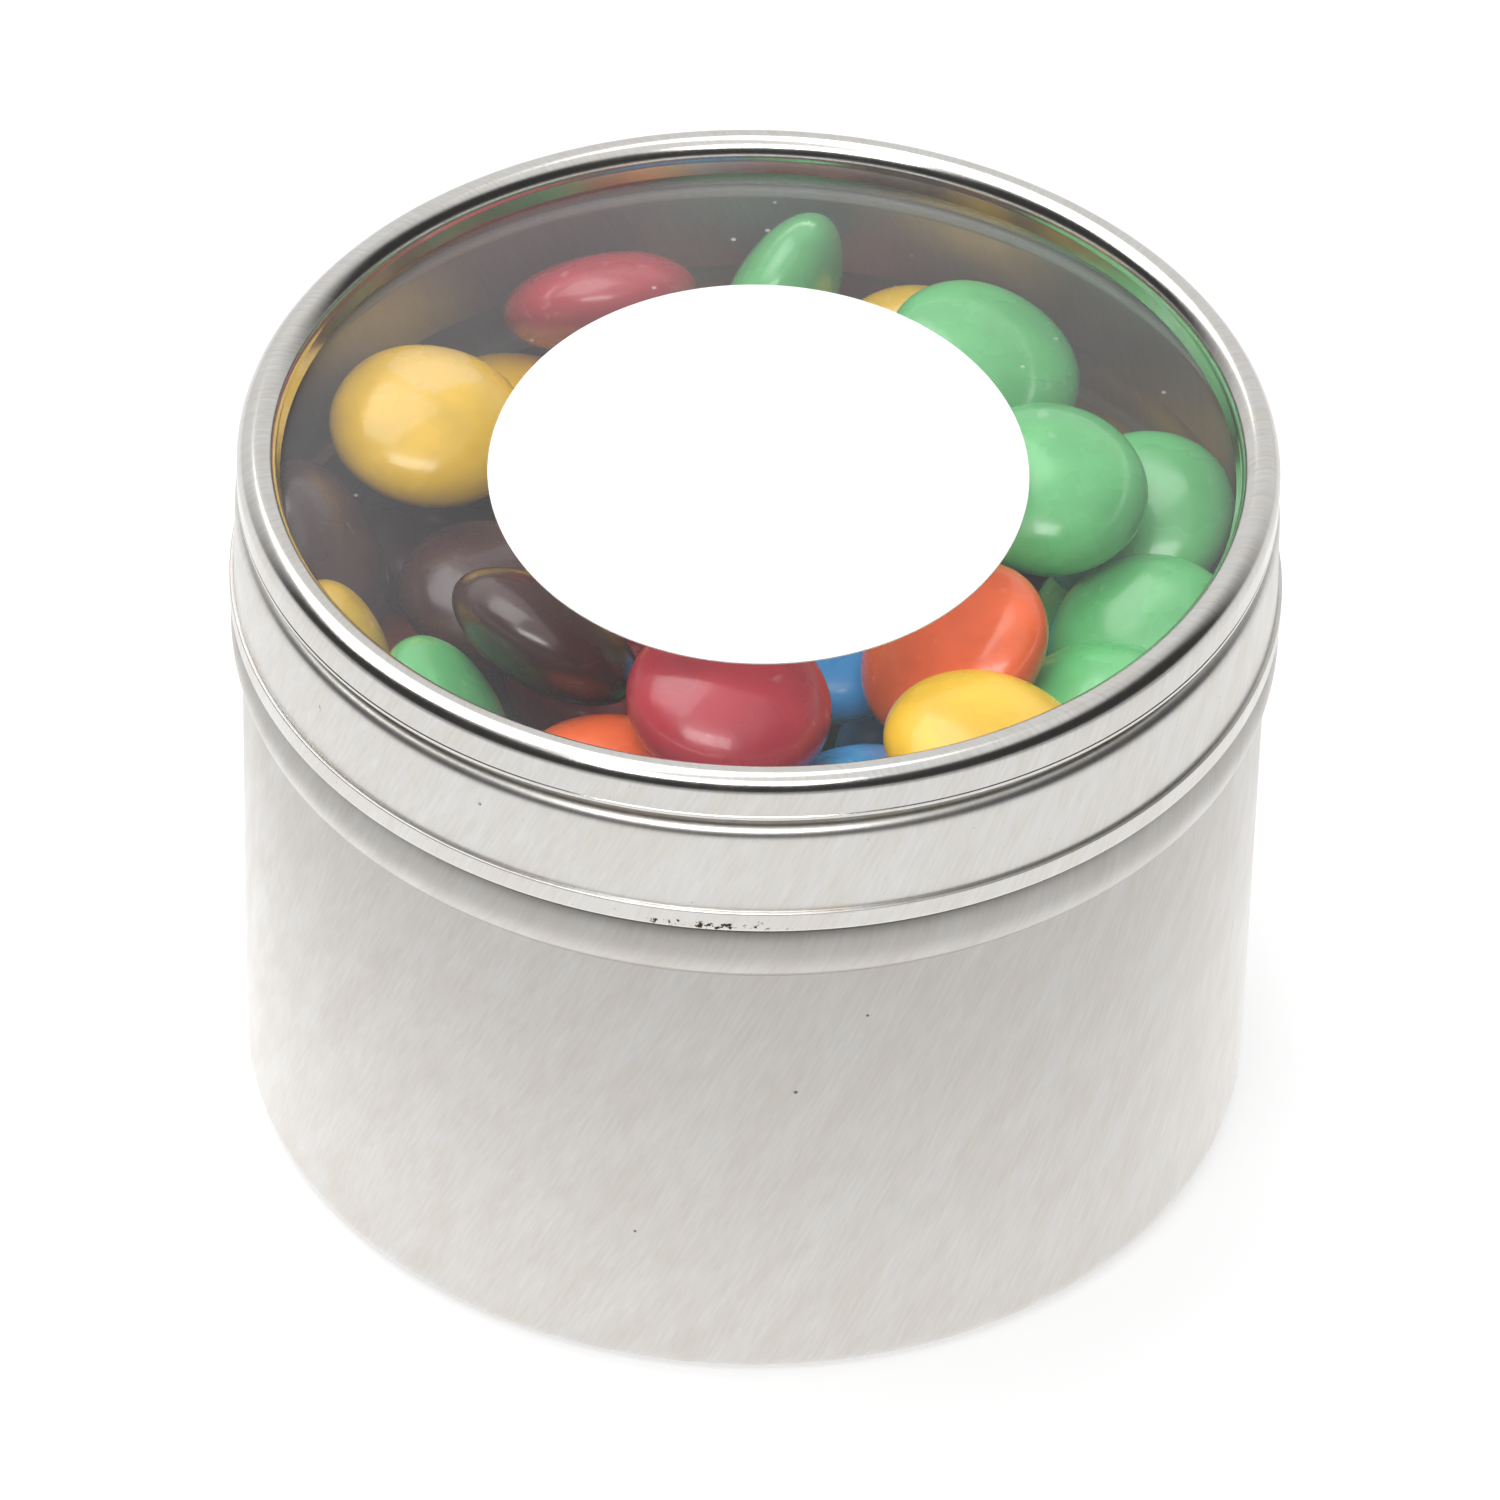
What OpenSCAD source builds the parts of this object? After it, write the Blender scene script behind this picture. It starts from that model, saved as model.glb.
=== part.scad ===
// Window lid tin: a round tinplate tin with a lift-off lid, a clear window in the lid,
// a plain oval label on the window, and lentil-shaped sugar-coated sweets inside.
// Millimetres, Z up, the tin standing on Z = 0 with its axis on the Z axis.

/* [Tin] */
// Outside diameter of the tin body
body_d = 65; // [60:0.5:70]
// Height of the closed tin
tin_h = 50; // [46:0.5:60]
// Thickness of the tinplate
plate = 0.25; // [0.2:0.01:0.35]
// Radius of the corner between wall and base
corner_r = 2; // [1:0.1:3]
// How far the stop bead stands out from the wall
bead_out = 0.7; // [0.4:0.05:1]
// Height of the stop bead
bead_h = 3.9; // [3:0.1:5]
// Radius of the curled mouth edge
curl_r = 0.5; // [0.3:0.05:0.7]
// Depth of the mouth below the top of the closed tin
mouth_drop = 4.4; // [4:0.05:6]

/* [Lid] */
// Depth of the lid from its top bead to its hem
lid_h = 11.5; // [9:0.1:14]
// Clearance between the neck of the tin and the inside of the lid
lid_clear = 0.25; // [0.15:0.01:0.5]
// How far the hem stands out from the lid skirt
hem_out = 0.28; // [0.15:0.01:0.5]
// Height of the hem
hem_h = 1.45; // [1:0.05:2.5]
// Radius of the bead round the top of the lid
rim_r = 1.24; // [1:0.02:1.5]
// Depth of the lid's shoulder below its top
shoulder_drop = 3.7; // [3.2:0.05:4]
// Radius of the lid's shoulder
shoulder_r = 0.9; // [0.6:0.05:1.2]
// Height of the lock groove in the side of the lid
groove_h = 0.74; // [0.5:0.02:1]
// Depth of the lock groove
groove_in = 1.12; // [0.8:0.02:1.3]

/* [Window and label] */
// Thickness of the clear window
window_t = 0.5; // [0.3:0.05:0.8]
// Clearance between the window and the lid
window_clear = 0.1; // [0.05:0.01:0.3]
// How far the window sits below the top of the lid
window_drop = 2.1; // [1.6:0.05:3]
// Gap between the mouth of the tin and the window's skirt
window_seat = 0.3; // [0.2:0.05:0.6]
// Thickness of the window's skirt
window_skirt = 0.4; // [0.3:0.05:0.6]
// Width of the oval label
label_w = 34; // [20:0.5:44]
// Length of the oval label
label_l = 37.4; // [20:0.1:50]
// How far the label sits off centre towards the front
label_off = 0.4; // [0:0.1:2]
// Thickness of the label
label_t = 0.12; // [0.08:0.01:0.3]

/* [Sweets] */
// Diameter of one sweet
sweet_d = 13.2; // [12:0.1:13.4]
// Thickness of one sweet as a share of its diameter
sweet_flat = 0.515; // [0.45:0.005:0.52]
// Gap kept between stacked sweets
sweet_gap = 0.1; // [0.05:0.01:0.4]
// Gap kept between the sweets and the wall
wall_gap = 0.3; // [0.1:0.05:1]
// Most sweets in the ring along the wall
ring_most = 11; // [6:1:11]
// Most sweets in the ring inside it
inner_most = 5; // [2:1:5]
// Depth below the window down to which the sweets are laid one by one
hand_depth = 22.9; // [22.9:0.1:30]

/* [Hidden] */
$fn = 96;
body_r = body_d/2;
skirt_top_r = body_r + 0.35;        // outside of the lid skirt under its shoulder
skirt_low_r = body_r + 0.48;        // outside of the lid skirt above its hem
neck_r = skirt_top_r - plate - lid_clear;
hem_z = tin_h - lid_h;
bead_z = hem_z - 0.3 - bead_h;
mouth_z = tin_h - mouth_drop;
shoulder_z = tin_h - shoulder_drop;
riser_z = shoulder_z + groove_h;
riser_r = skirt_top_r - 0.13;
groove_r = riser_r - groove_in;
rim_z = tin_h - rim_r;
window_z = tin_h - window_drop;      // top face of the window
window_r = groove_r - plate - window_clear;
inner_r = body_r - plate;

// Points of an arc about [x, y], from angle a to angle b
function arc(x, y, r, a, b, n = 8) =
    [for (i = [0:n]) [x + r*cos(a + (b - a)*i/n), y + r*sin(a + (b - a)*i/n)]];

// The wall as a line from the middle of the base to the mouth. The stop bead is one
// gentle curve, steeper at its lower edge.
bead_arc = bead_h*1.15;
bead_mid = bead_z + bead_h*0.51;
function body_line(o) = concat(
    [[0, o]],
    arc(body_r - corner_r, corner_r, corner_r - o, -90, 0),
    [[body_r - o, bead_z]],
    arc(body_r + bead_out - bead_arc, bead_mid, bead_arc - o, -20, 26),
    [[neck_r - o, bead_z + bead_h + 0.45],
     [neck_r - o, mouth_z - curl_r]]);

function flip(p) = [for (i = [len(p) - 1:-1:0]) p[i]];

// Drawn tinplate body: base, wall, stop bead, drawn-in neck and curled mouth
module tin_body() {
    color([0.78, 0.77, 0.76])
    rotate_extrude() {
        polygon(concat(body_line(0), flip(body_line(plate))));
        translate([neck_r - curl_r, mouth_z - curl_r]) circle(r = curl_r, $fn = 24);
    }
}

// The lid as a line from its hem to the edge round the window
function lid_line(o) = concat(
    [[skirt_low_r - o, hem_z], [skirt_low_r - o, hem_z + hem_h]],
    arc(skirt_top_r - shoulder_r, shoulder_z - shoulder_r, shoulder_r - o, 0, 90, 6),
    [[groove_r - o, shoulder_z - o],
     [groove_r - o, riser_z + o],
     [riser_r - o, riser_z + o]],
    arc(riser_r - rim_r, rim_z, rim_r - o, 0, 180, 14),
    [[riser_r - 2*rim_r - 0.25 + o, window_z]]);

// Lid ring: hemmed skirt, shoulder, lock groove, riser and the bead that frames the window
module lid_shell() {
    color([0.78, 0.77, 0.76])
    rotate_extrude() {
        polygon(concat(lid_line(0), flip(lid_line(plate))));
        // Hem folded out at the lower edge
        polygon([[skirt_low_r - plate, hem_z + 0.05], [skirt_low_r - plate + 0.05, hem_z],
                 [skirt_low_r + hem_out - 0.12, hem_z], [skirt_low_r + hem_out, hem_z + 0.12],
                 [skirt_low_r + hem_out, hem_z + hem_h - 0.06],
                 [skirt_low_r + hem_out - 0.06, hem_z + hem_h], [skirt_low_r - plate, hem_z + hem_h]]);
    }
}

// Clear window: a flat disc with a short skirt that the lock groove holds
module lid_window() {
    color([0.85, 0.88, 0.9, 0.3])
    rotate_extrude()
        polygon([[0, window_z - window_t], [window_r - window_skirt, window_z - window_t],
                 [window_r - window_skirt, mouth_z + window_seat], [window_r, mouth_z + window_seat],
                 [window_r, window_z], [0, window_z]]);
}

// Plain oval label on the window
module window_label() {
    color([0.97, 0.97, 0.97])
    translate([0, -label_off, window_z])
        linear_extrude(label_t)
            polygon([for (i = [0:95]) [label_w/2*cos(i*3.75), label_l/2*sin(i*3.75)]]);
}

// One sweet, flat on Z = 0 about its middle: two shallow caps meeting in a round edge
edge_r = sweet_d/8;
half_t = sweet_d*sweet_flat/2;
edge_c = sweet_d/2 - edge_r;
cap_k = (edge_c*edge_c - (half_t - edge_r)*(half_t - edge_r))/(2*(half_t - edge_r));
cap_r = cap_k + half_t;
tangent = 90 - atan(edge_c/cap_k);
edge_turn = tangent*0.7;    // the edge's arc stops short of the caps, which it meets in a facet
module sweet() {
    rotate_extrude($fn = 48)
        polygon(concat(
            arc(0, -cap_k, cap_r, 90, tangent, 5),
            arc(edge_c, 0, edge_r, edge_turn, -edge_turn, 4),
            arc(0, cap_k, cap_r, -tangent, -90, 5)));
}

// Top layer, seen through the window: colour, x, y, depth below the window, lean, direction
RED = 0; ORANGE = 1; YELLOW = 2; GREEN = 3; BLUE = 4; BROWN = 5;
TOP = [
    [RED, -10.5, 24.3, 6, 40, 105],
    [GREEN, 1, 25.5, 6.6, 75, 155],
    [YELLOW, 10, 22.5, 10.5, 35, -90],
    [YELLOW, -21, 10.5, 5.4, 10, -45],
    [GREEN, 14.3, 18.3, 5.2, 20, -15],
    [GREEN, 18.3, 4, 3.9, 13, -80],
    [GREEN, 24.2, 8.3, 9.9, 25, -140],
    [GREEN, 25, -3.3, 11, 33, -100],
    [GREEN, 20.7, -12.4, 9.4, 25, -175],
    [ORANGE, 12.5, -8.8, 6.7, 33, -155],
    [YELLOW, 14.5, -20.8, 4.3, 10, 5],
    [BLUE, 4.7, -1.6, 12.9, 0, 0],
    [BLUE, 7.5, -20.7, 9.9, 10, 90],
    [RED, -1.4, -17.6, 3.9, 15, -50],
    [ORANGE, -9, -21, 9.9, 20, -90],
    [BROWN, -13, -10, 5.4, 42, 45],
    [BROWN, -16.3, 0.9, 11.4, 10, 0],
    [BROWN, -27.5, 2.2, 9.6, 60, 0],
    [YELLOW, -25.7, -10.7, 8.7, 74, 3],
    [GREEN, -18.9, -15.7, 8.6, 60, 2],
    [YELLOW, -16, 18.5, 11.7, 0, 0]
];
// Sweet diameter and inside radius that the table is drawn for; it follows both
TABLE_FOR = [13.2, 32.25];
grow = sweet_d/TABLE_FOR[0];
spread = max(grow, inner_r/TABLE_FOR[1]);
head_z = window_z - window_t;

function place(p) = [p[1]*spread, p[2]*spread, head_z - p[3]*grow];
// Rim of a sweet that leans by p[4] in the direction p[5], at the angle a round it
function rim(p, a) = let (u = edge_c*cos(a), v = edge_c*sin(a)) place(p) +
    [u*cos(p[4])*cos(p[5]) - v*sin(p[5]), u*cos(p[4])*sin(p[5]) + v*cos(p[5]), -u*sin(p[4])];
// Clear radius inside the closed tin at the height z
function clear_r(z) =
    z > mouth_z + window_seat - edge_r/2 ? window_r - window_skirt :
    z > mouth_z - 2*curl_r - edge_r/2 ? neck_r - 2*curl_r :
    z > bead_z + bead_h - edge_r/2 ? neck_r - plate : inner_r;
// A sweet is laid only where its whole rim clears the wall, the mouth and the window
function fits(p) = min([for (a = [0:15:345]) let (q = rim(p, a))
    clear_r(q[2] + edge_r/2) - norm([q[0], q[1]]) - edge_r*0.94]) > 0;

module top_layer(c) {
    for (p = TOP)
        if (p[0] == c && fits(p))
            translate(place(p)) rotate([0, 0, p[5]]) rotate([0, p[4], 0]) sweet();
}

// Flat layers below: rings of sweets, one inside the other, from the wall inwards
low_z = plate + half_t + sweet_gap;
high_z = head_z - hand_depth*grow;
layers = floor((high_z - low_z)/(2*half_t + sweet_gap)) + 1;
step_z = (high_z - low_z)/max(layers - 1, 1);
nest_z = high_z + 2*half_t*0.82;
ring_1 = inner_r - sweet_d/2 - wall_gap;
ring_2 = ring_1 - sweet_d - wall_gap;
count_1 = min(ring_most, floor(180/asin((sweet_d + wall_gap)/2/ring_1)));
count_2 = min(inner_most, floor(180/asin((sweet_d + wall_gap/2)/2/ring_2)));

module lower_layers(c) {
    for (k = [0:layers - 1]) translate([0, 0, low_z + k*step_z]) {
        for (i = [0:count_1 - 1])
            if ((i*5 + k*2 + floor(i/6)) % 6 == c) rotate([0, 0, i*360/count_1]) translate([ring_1, 0, 0]) sweet();
        for (i = [0:count_2 - 1])
            if ((i*4 + k*5 + 1 + floor(i/3)) % 6 == c) rotate([0, 0, i*360/count_2]) translate([ring_2, 0, 0]) sweet();
    }
    // The highest flat layer lies in the hollows of the one below, with places left out
    // where the sweets of the top layer reach down
    translate([0, 0, nest_z]) {
        for (i = [0, 1, 2, 3, 4, 7, 8, 9])
            if ((i*5 + 3) % 6 == c && i < count_1)
                rotate([0, 0, (i + 0.5)*360/count_1]) translate([ring_1, 0, 0]) sweet();
        for (i = [0, 1])
            if (i + 4 == c) rotate([0, 0, (i + 0.5)*360/count_2]) translate([ring_2, 0, 0]) sweet();
    }
}

module sweets_red() { color([0.76, 0.16, 0.2]) { top_layer(RED); lower_layers(RED); } }
module sweets_orange() { color([0.93, 0.33, 0.13]) { top_layer(ORANGE); lower_layers(ORANGE); } }
module sweets_yellow() { color([0.95, 0.75, 0.12]) { top_layer(YELLOW); lower_layers(YELLOW); } }
module sweets_green() { color([0.3, 0.7, 0.35]) { top_layer(GREEN); lower_layers(GREEN); } }
module sweets_blue() { color([0.16, 0.5, 0.8]) { top_layer(BLUE); lower_layers(BLUE); } }
module sweets_brown() { color([0.24, 0.15, 0.14]) { top_layer(BROWN); lower_layers(BROWN); } }

tin_body();
lid_shell();
lid_window();
window_label();
sweets_red();
sweets_orange();
sweets_yellow();
sweets_green();
sweets_blue();
sweets_brown();
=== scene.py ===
import math

import bpy
from bpy.props import FloatProperty, FloatVectorProperty, IntProperty, PointerProperty
from mathutils import Euler, Matrix, Vector


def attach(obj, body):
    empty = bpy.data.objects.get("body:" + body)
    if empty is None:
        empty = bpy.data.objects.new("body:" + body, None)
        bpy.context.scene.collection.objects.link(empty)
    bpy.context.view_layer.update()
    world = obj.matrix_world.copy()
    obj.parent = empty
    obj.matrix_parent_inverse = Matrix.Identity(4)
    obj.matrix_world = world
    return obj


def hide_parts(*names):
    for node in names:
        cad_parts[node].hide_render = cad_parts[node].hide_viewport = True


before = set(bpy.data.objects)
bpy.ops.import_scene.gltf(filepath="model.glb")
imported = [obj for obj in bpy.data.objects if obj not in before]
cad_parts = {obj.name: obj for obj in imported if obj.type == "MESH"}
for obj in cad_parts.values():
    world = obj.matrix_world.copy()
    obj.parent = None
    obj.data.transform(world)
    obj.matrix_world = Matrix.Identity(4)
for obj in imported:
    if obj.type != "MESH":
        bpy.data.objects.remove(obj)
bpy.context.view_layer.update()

bl_info = {
    "name": "Window lid tin",
    "version": (1, 0, 0),
    "blender": (4, 5, 0),
    "location": "View3D > Sidebar > Window tin",
    "description": "Builds a round tinplate tin with a clear window in its lid, filled with sweets",
    "category": "Object",
}

MM = 0.001


def size_of(name, default, text):
    """A length that a user can change, its default in mm"""
    return FloatProperty(name=name, description=text, default=default * MM, min=0.0, unit="LENGTH")


def colour_of(name, default, text):
    """A colour that a user can change"""
    return FloatVectorProperty(name=name, description=text, default=default, size=3,
                               min=0.0, max=1.0, subtype="COLOR")


class WindowTinSizes(bpy.types.PropertyGroup):
    """Sizes of the tin, its lid, the window, the label and the sweets"""
    body_d: size_of("Body diameter", 65, "Outside diameter of the tin body")
    tin_h: size_of("Closed height", 50, "Height of the closed tin")
    plate: size_of("Tinplate", 0.25, "Thickness of the tinplate")
    corner_r: size_of("Base corner", 2, "Radius between the wall and the base")
    hem_gap: size_of("Hem gap", 0.3, "Gap between the stop bead and the lid's hem")
    bead_out: size_of("Stop bead", 0.7, "How far the stop bead stands out")
    bead_h: size_of("Stop bead height", 3.9, "Height of the stop bead")
    curl_r: size_of("Mouth curl", 0.5, "Radius of the curled mouth edge")
    lid_h: size_of("Lid depth", 11.5, "Depth of the lid from top bead to hem")
    lid_clear: size_of("Lid clearance", 0.25, "Clearance between neck and lid")
    mouth_drop: size_of("Mouth drop", 4.4, "Depth of the tin's mouth below the top bead")
    shoulder_drop: size_of("Shoulder drop", 3.7, "Depth of the lid's shoulder below the top bead")
    shoulder_r: size_of("Shoulder", 0.9, "Radius between the shoulder and the skirt")
    skirt_top_out: size_of("Skirt top", 0.35, "How far the skirt's top stands out from the body")
    skirt_low_out: size_of("Skirt foot", 0.48, "How far the skirt's foot stands out from the body")
    riser_in: size_of("Riser", 0.13, "How far the riser stands back from the top of the skirt")
    hem_out: size_of("Hem", 0.28, "How far the hem stands out from the skirt")
    hem_h: size_of("Hem height", 1.45, "Height of the hem")
    rim_r: size_of("Rim bead", 1.24, "Radius of the bead round the top of the lid")
    groove_h: size_of("Lock groove", 0.74, "Height of the lock groove")
    groove_in: size_of("Lock groove depth", 1.12, "Depth of the lock groove")
    window_t: size_of("Window thickness", 0.5, "Thickness of the clear window")
    window_drop: size_of("Window drop", 2.1, "Depth of the window below the top bead")
    window_clear: size_of("Window clearance", 0.1, "Clearance between the lid and the window")
    window_seat: size_of("Window seat", 0.3, "Height of the window's skirt above the mouth")
    window_skirt: size_of("Window skirt", 0.4, "Thickness of the window's skirt")
    label_w: size_of("Label width", 34, "Width of the oval label")
    label_l: size_of("Label length", 37.4, "Length of the oval label")
    label_off: size_of("Label offset", 0.4, "How far the label sits towards the front")
    label_t: size_of("Label thickness", 0.12, "Thickness of the label")
    sweet_d: size_of("Sweet diameter", 13.2, "Diameter of one sweet")
    sweet_flat: FloatProperty(name="Sweet flatness", default=0.515, min=0.3, max=1.0,
                              description="Thickness of a sweet as a share of its diameter")
    sides: IntProperty(name="Sides", default=256, min=32, max=512,
                       description="Number of sides of the turned pieces")


class WindowTinColours(bpy.types.PropertyGroup):
    """Colours of the tinplate, the window, the label and the sweets"""
    # the body and the lid are one tinplate: the body's copy is painted darker and the lid's lighter,
    # as painted shade on the body under the lid's overhang
    metal: colour_of("Tinplate", (0.505, 0.488, 0.468), "Colour of the bright tinplate")
    lid_metal_painted_lighter: colour_of("Lid tinplate", (0.74, 0.725, 0.7), "Colour of the lid's brighter tinplate")
    haze: colour_of("Window haze", (0.72, 0.72, 0.74), "Colour of the fine haze on the window")
    label: colour_of("Label", (0.93, 0.93, 0.93), "Colour of the paper label")
    red: colour_of("Red", (0.5, 0.035, 0.055), "Red sugar shell")
    orange: colour_of("Orange", (0.95, 0.15, 0.03), "Orange sugar shell")
    yellow: colour_of("Yellow", (0.97, 0.6, 0.02), "Yellow sugar shell")
    green: colour_of("Green", (0.14, 0.6, 0.2), "Green sugar shell")
    blue: colour_of("Blue", (0.05, 0.4, 0.88), "Blue sugar shell")
    brown: colour_of("Brown", (0.062, 0.02, 0.019), "Brown sugar shell")


def arc(x, z, r, start, end, steps):
    """Points of an arc about (x, z), angles in degrees"""
    out = []
    for i in range(steps + 1):
        a = math.radians(start + (end - start) * i / steps)
        out.append((x + r * math.cos(a), z + r * math.sin(a)))
    return out


def held(line, edge=0.1 * MM):
    """The same line with a point close to each end of a long stretch, to keep it flat when shaded"""
    out = [line[0]]
    for a, b in zip(line, line[1:]):
        length = math.dist(a, b)
        if length > 6 * edge:
            for f in (edge / length, 1 - edge / length):
                out.append((a[0] + (b[0] - a[0]) * f, a[1] + (b[1] - a[1]) * f))
        out.append(b)
    return out


def deselect():
    """Leave edit mode with nothing selected"""
    if bpy.context.object and bpy.context.object.mode != "OBJECT":
        bpy.ops.object.mode_set(mode="OBJECT")
    bpy.ops.object.select_all(action="DESELECT")


def pick(obj):
    """Select this object alone and make it the active one"""
    deselect()
    obj.select_set(True)
    bpy.context.view_layer.objects.active = obj


def apply_modifiers(obj):
    """Turn every modifier of the object into mesh"""
    pick(obj)
    for m in list(obj.modifiers):
        bpy.ops.object.modifier_apply(modifier=m.name)


def select_border():
    """Select only the open edges of the mesh that is being edited"""
    bpy.ops.mesh.select_all(action="DESELECT")
    bpy.ops.mesh.select_non_manifold(extend=False, use_wire=False, use_boundary=True,
                                     use_multi_face=False, use_non_contiguous=False,
                                     use_verts=False)


def turned(name, line, sides, start="open", end="open"):
    """Turn a line of (radius, height) about the tin's axis, ring by ring from the first point.
    An end that is "pole" is drawn together on the axis; two open ends are bridged."""
    deselect()
    r, z = line[0]
    bpy.ops.mesh.primitive_circle_add(vertices=sides, radius=r, fill_type="NOTHING",
                                      location=(0, 0, z))
    obj = bpy.context.object
    obj.name = obj.data.name = name
    bpy.ops.object.transform_apply(location=True, rotation=True, scale=True)
    bpy.ops.object.mode_set(mode="EDIT")
    bpy.ops.mesh.select_mode(type="VERT")
    bpy.ops.mesh.select_all(action="SELECT")
    if start == "pole":
        bpy.ops.mesh.edge_face_add()
        bpy.ops.mesh.poke()
        select_border()
    for r2, z2 in line[1:]:
        bpy.ops.mesh.extrude_region_move(TRANSFORM_OT_translate={"value": (0, 0, z2 - z)})
        if abs(r2 - r) > 1e-9:
            bpy.ops.transform.resize(value=(r2 / r, r2 / r, 1), center_override=(0, 0, z2))
        r, z = r2, z2
    if end == "pole":
        bpy.ops.mesh.edge_face_add()
        bpy.ops.mesh.poke()
    elif start == "open":
        select_border()
        bpy.ops.mesh.bridge_edge_loops()
    bpy.ops.mesh.select_all(action="SELECT")
    bpy.ops.mesh.remove_doubles(threshold=1e-7)
    bpy.ops.mesh.normals_make_consistent(inside=False)
    bpy.ops.object.mode_set(mode="OBJECT")
    bpy.ops.object.shade_smooth_by_angle(angle=math.radians(38))
    return obj


def finish_piece(obj, body, nodes, material):
    """Give a piece its material and its body, and hide the CAD nodes that it stands for"""
    obj.data.materials.clear()
    obj.data.materials.append(material)
    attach(obj, body)
    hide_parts(*nodes)


class Plan:
    """Heights and radii that several pieces share, worked out from the sizes"""

    def __init__(self, s):
        self.s = s
        self.body_r = s.body_d / 2
        self.skirt_top = self.body_r + s.skirt_top_out
        self.skirt_low = self.body_r + s.skirt_low_out
        self.neck_r = self.skirt_top - s.plate - s.lid_clear
        self.hem_z = s.tin_h - s.lid_h
        self.bead_z = self.hem_z - s.hem_gap - s.bead_h
        self.mouth_z = s.tin_h - s.mouth_drop
        self.shoulder_z = s.tin_h - s.shoulder_drop
        self.riser_z = self.shoulder_z + s.groove_h
        self.riser_r = self.skirt_top - s.riser_in
        self.groove_r = self.riser_r - s.groove_in
        self.rim_z = s.tin_h - s.rim_r
        self.window_z = s.tin_h - s.window_drop
        self.head_z = self.window_z - s.window_t
        self.window_r = self.groove_r - s.plate - s.window_clear
        self.inner_r = self.body_r - s.plate

    def body_line(self, o):
        """Line of the wall from the base to the mouth, moved o inwards"""
        s = self.s
        w, c, low, high = self.body_r, s.corner_r, self.bead_z, self.bead_z + s.bead_h
        # rings that keep the base flat, the step where the bead starts, and the neck's start over it
        base_rings = (9 * MM, 20 * MM)
        step_out, step_up = 0.04 * MM, 0.05 * MM
        neck_up = 0.45 * MM
        # the bead is a bow with its crest at about half its height
        bow = s.bead_h * 1.15
        crest = low + s.bead_h * 0.51
        line = [(r, o) for r in base_rings]
        line += arc(w - c, c, c - o, -90, 0, 10)
        line += [(w - o, low - step_up), (w + step_out - o, low)]
        line += arc(w + s.bead_out - bow, crest, bow - o, -20, 26, 16)
        line += [(self.neck_r - o, high + neck_up), (self.neck_r - o, self.mouth_z - s.curl_r)]
        return line

    def lid_line(self, o):
        """Line of the lid from the skirt's foot to the inside of the rim bead, moved o inwards"""
        s = self.s
        skirt, shoulder, turn = self.skirt_top, self.shoulder_z, s.shoulder_r
        groove, groove_turn = self.groove_r, 0.12 * MM
        riser, riser_z, riser_turn = self.riser_r, self.riser_z, 0.1 * MM
        foot, foot_up = self.skirt_low - o, 0.03 * MM if o == 0 else 0
        line = [(foot, self.hem_z + foot_up), (foot, self.hem_z + s.hem_h)]
        line += arc(skirt - turn, shoulder - turn, turn - o, 0, 90, 10)
        line += arc(groove + groove_turn, shoulder + groove_turn - o, groove_turn + o, -90, -180, 3)
        line += arc(groove + groove_turn, riser_z - groove_turn + o, groove_turn + o, 180, 90, 3)
        line += arc(riser - riser_turn, riser_z + riser_turn, max(riser_turn - o, 0), -90, 0, 4)
        if o == 0:
            # a fine crease low on the riser: depth and height of its points in mm
            line += [(riser - d * MM, riser_z + z * MM)
                     for d, z in ((0, 0.28), (0.05, 0.33), (0.05, 0.37), (0, 0.42))]
        line += arc(riser - s.rim_r, self.rim_z, s.rim_r - o, 0, 180, 26)
        line += [(riser - 2 * s.rim_r - 0.25 * MM + o, self.window_z)]
        return line


# Materials

DULL_SPOT = (0.05, 0.045, 0.04)
DARK_DIRT = (0.05, 0.035, 0.028)


def new_group(name, inputs, outputs):
    """A shader node group with named sockets, and its input and output nodes"""
    tree = bpy.data.node_groups.new(name, "ShaderNodeTree")
    for label, kind, value in inputs:
        socket = tree.interface.new_socket(name=label, in_out="INPUT", socket_type=kind)
        socket.default_value = value
    for label, kind in outputs:
        tree.interface.new_socket(name=label, in_out="OUTPUT", socket_type=kind)
    return tree, tree.nodes.new("NodeGroupInput"), tree.nodes.new("NodeGroupOutput")


def node(tree, kind, values=None, **props):
    """A node with its properties and the values of its sockets set"""
    n = tree.nodes.new(kind)
    for k, v in props.items():
        setattr(n, k, v)
    for k, v in (values or {}).items():
        n.inputs[k].default_value = v
    return n


def math_node(tree, operation, a, b=None, clamp=False):
    """A calculation on one or two numbers or sockets; b may be left out"""
    n = node(tree, "ShaderNodeMath", operation=operation, use_clamp=clamp)
    for i, v in enumerate((a, b)):
        if v is None:
            continue
        if isinstance(v, (int, float)):
            n.inputs[i].default_value = v
        else:
            tree.links.new(v, n.inputs[i])
    return n.outputs[0]


def mapped(tree, source, low, high, to_low=0.0, to_high=1.0):
    """The source with its stretch from low to high brought to that from to_low to to_high, and
    held at its ends"""
    n = node(tree, "ShaderNodeMapRange", {"From Min": low, "From Max": high,
                                          "To Min": to_low, "To Max": to_high})
    tree.links.new(source, n.inputs["Value"])
    return n.outputs["Result"]


def noise_of(tree, vector, scale, detail=2.0, rough=0.5):
    """Cloudy noise from 0 to 1, most of it near 0.5"""
    n = node(tree, "ShaderNodeTexNoise", {"Scale": scale, "Detail": detail, "Roughness": rough})
    tree.links.new(vector, n.inputs["Vector"])
    return n.outputs["Fac"]


def vector_node(tree, operation, vector, by=None):
    """The outputs of a calculation on a vector, with a fixed second vector where it needs one"""
    n = node(tree, "ShaderNodeVectorMath", operation=operation)
    tree.links.new(vector, n.inputs[0])
    if by is not None:
        n.inputs[1].default_value = by
    return n.outputs


def from_mm(values):
    """A place or reach given in mm, in metres"""
    return tuple(v * MM for v in values)


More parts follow.
